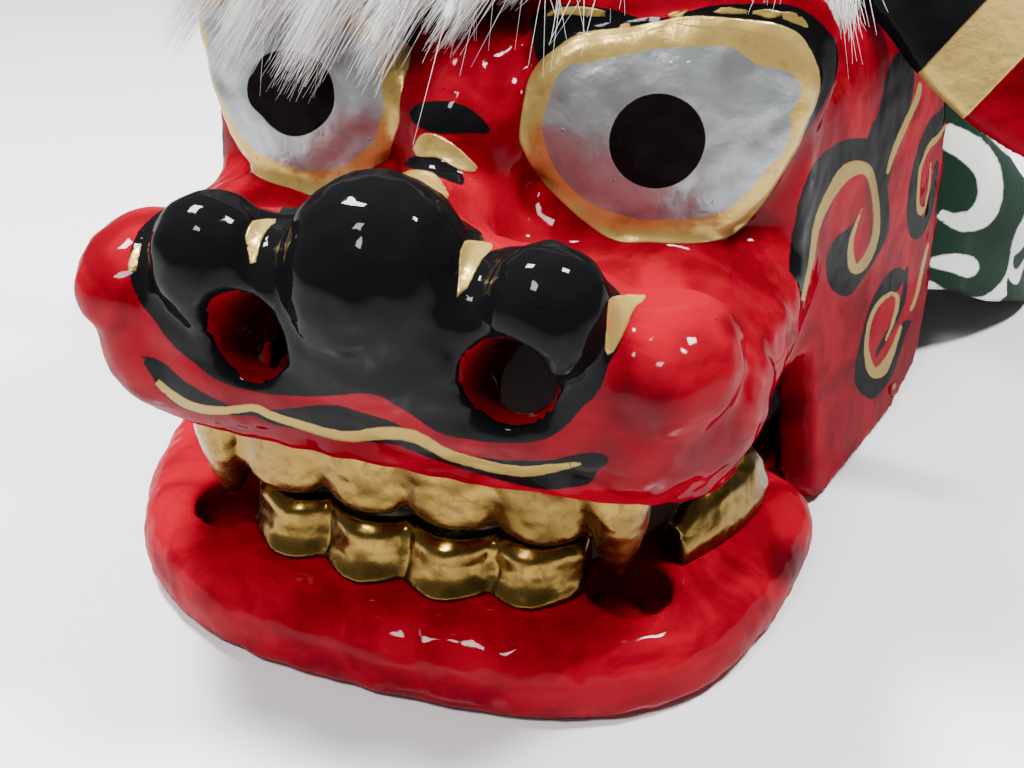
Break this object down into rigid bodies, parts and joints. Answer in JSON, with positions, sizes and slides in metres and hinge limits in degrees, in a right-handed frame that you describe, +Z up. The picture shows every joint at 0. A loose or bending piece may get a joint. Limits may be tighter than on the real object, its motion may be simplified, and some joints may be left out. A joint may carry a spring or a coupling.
{
  "type": "lion dance head",
  "caption": "Red lacquered wooden lion head mask with black nose, silver eyes, gilt teeth, hinged lower jaw, drooping ears, white fur mane and a short green scroll cloth behind.",
  "frame": {"origin": "middle of the whole box in plan, on the table that the jaw rests on", "axes": "+Z up; the lion looks towards -Y; +X is the lion's left"},
  "size_m": [0.4008, 0.396, 0.2061],
  "materials": {
    "red_lacquer": "glossy red lacquer with black, gold and silver painting",
    "gold_leaf": "gilded, worn",
    "bamboo": "plain",
    "white_fur": "long soft hair",
    "green_cotton": "dark green cotton with off-white scrolls"
  },
  "bodies": {
    "jaw": {"jaw": "red_lacquer", "lower_front_teeth": "gold_leaf", "lower_side_teeth_left": "gold_leaf", "lower_side_teeth_right": "gold_leaf"},
    "head": {"head_shell": "red_lacquer", "hinge_pin_left": "bamboo", "hinge_pin_right": "bamboo", "upper_front_teeth": "gold_leaf", "upper_side_teeth_left": "gold_leaf", "upper_side_teeth_right": "gold_leaf", "ear_left": "red_lacquer", "ear_right": "red_lacquer", "mane": "white_fur", "body_cloth": "green_cotton"}
  },
  "joints": [
    {"name": "jaw_hinge", "type": "hinge", "parent": "jaw", "child": "head", "pos_m": [0.0065, 0.0223, 0.01], "axis": [-1, 0, 0], "range_deg": [0, 20]}
  ]
}
